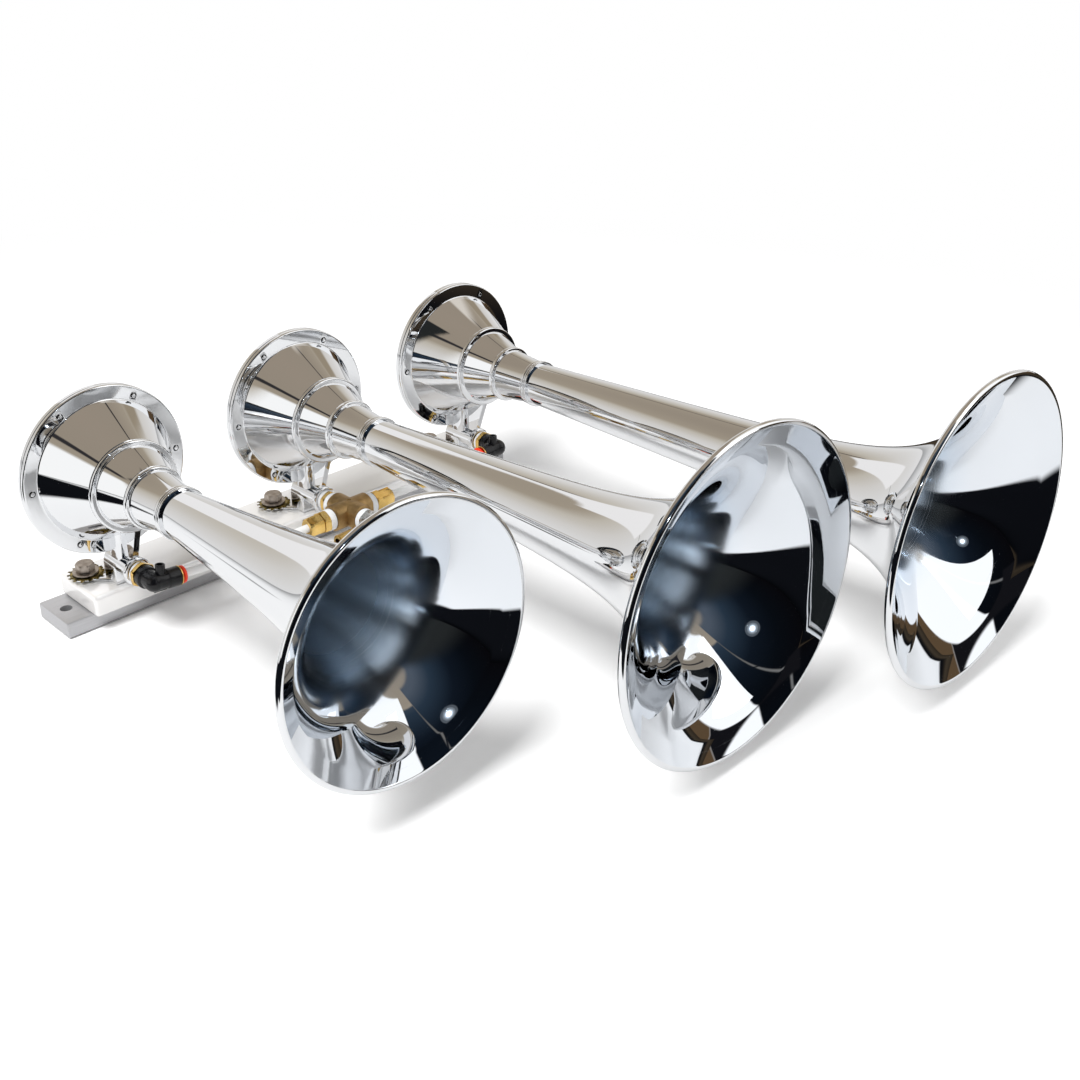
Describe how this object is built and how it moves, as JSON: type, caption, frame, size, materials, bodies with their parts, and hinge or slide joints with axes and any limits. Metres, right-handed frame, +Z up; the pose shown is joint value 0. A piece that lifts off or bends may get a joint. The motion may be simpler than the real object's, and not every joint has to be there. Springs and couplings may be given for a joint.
{
  "type": "air horn",
  "caption": "Triple air horn: chromed flared trumpets on round diaphragm chambers, joined by air tube and push-fit elbows, on a riser and mounting bar",
  "frame": {"origin": "middle of the underside of the mounting bar", "axes": "+X along the bar from the short horn to the long horn, the mouths toward -Y, +Z up"},
  "size_m": [0.5217, 0.5205, 0.2203],
  "materials": {
    "chrome": "mirror chrome plate",
    "bar_grey": "satin extruded bar",
    "riser_white": "bright polished bar",
    "spring_steel": "rolled spring strip",
    "seal_rubber": "moulded rubber",
    "bolt_steel": "passivated steel",
    "zinc_yellow": "yellow zinc plate",
    "brass": "turned brass",
    "cast_brass": "dull cast brass",
    "nickel": "nickel plate",
    "white_tape": "wound thread tape",
    "black_plastic": "moulded plastic",
    "orange_plastic": "moulded plastic",
    "clear_nylon": "milky nylon tube"
  },
  "bodies": {
    "horn_set": {"mounting_bar": "bar_grey", "riser_bar": "riser_white", "horn_1_chamber": "chrome", "horn_1_back_cover": "chrome", "horn_1_diaphragm": "spring_steel", "horn_1_diaphragm_seal": "seal_rubber", "horn_1_trumpet": "chrome", "horn_1_foot_bolt": "bolt_steel", "horn_1_flat_washer": "bolt_steel", "horn_1_star_washer": "zinc_yellow", "horn_2_chamber": "chrome", "horn_2_back_cover": "chrome", "horn_2_diaphragm": "spring_steel", "horn_2_diaphragm_seal": "seal_rubber", "horn_2_trumpet": "chrome", "horn_2_foot_bolt": "bolt_steel", "horn_2_flat_washer": "bolt_steel", "horn_2_star_washer": "zinc_yellow", "horn_3_chamber": "chrome", "horn_3_back_cover": "chrome", "horn_3_diaphragm": "spring_steel", "horn_3_diaphragm_seal": "seal_rubber", "horn_3_trumpet": "chrome", "horn_3_foot_bolt": "bolt_steel", "horn_3_flat_washer": "bolt_steel", "horn_3_star_washer": "zinc_yellow", "elbow_1_stem": "brass", "elbow_1_thread_tape": "white_tape", "elbow_1_stem_seal": "seal_rubber", "elbow_3_stem": "brass", "elbow_3_thread_tape": "white_tape", "elbow_3_stem_seal": "seal_rubber", "cross_nipple": "brass", "cross_nipple_port_tape": "white_tape", "cross_nipple_tape": "white_tape", "cross_body": "cast_brass", "cross_left_connector": "brass", "cross_left_tape": "white_tape", "cross_left_nut": "brass", "cross_left_ferrule": "brass", "cross_right_connector": "brass", "cross_right_tape": "white_tape", "cross_right_nut": "brass", "cross_right_ferrule": "brass", "supply_tape": "white_tape", "supply_elbow": "nickel", "supply_nut": "brass", "air_tube_1": "clear_nylon", "air_tube_3": "clear_nylon"},
    "elbow_1": {"elbow_1_body": "black_plastic", "elbow_1_end_ring": "brass", "elbow_1_grip_ring": "spring_steel", "elbow_1_tube_seal": "seal_rubber"},
    "collet_1": {"elbow_1_collet": "orange_plastic"},
    "elbow_3": {"elbow_3_body": "black_plastic", "elbow_3_end_ring": "brass", "elbow_3_grip_ring": "spring_steel", "elbow_3_tube_seal": "seal_rubber"},
    "collet_3": {"elbow_3_collet": "orange_plastic"}
  },
  "joints": [
    {"name": "elbow_1_swivel", "type": "hinge", "parent": "horn_set", "child": "elbow_1", "pos_m": [-0.166, -0.0658, 0.0438], "axis": [0, 1, 0], "range_deg": [-12, 12], "deforming": ["air_tube_1"]},
    {"name": "collet_1_press", "type": "slide", "parent": "elbow_1", "child": "collet_1", "axis": [-0.9962, 0, 0.0872], "range_m": [0, 0.0012], "stiffness_N_per_m": 300, "deforming": ["air_tube_1"]},
    {"name": "elbow_3_swivel", "type": "hinge", "parent": "horn_set", "child": "elbow_3", "pos_m": [0.166, -0.0658, 0.0438], "axis": [0, 1, 0], "range_deg": [-12, 12], "deforming": ["air_tube_3"]},
    {"name": "collet_3_press", "type": "slide", "parent": "elbow_3", "child": "collet_3", "axis": [0.9998, 0, 0.0175], "range_m": [0, 0.0012], "stiffness_N_per_m": 300, "deforming": ["air_tube_3"]}
  ]
}
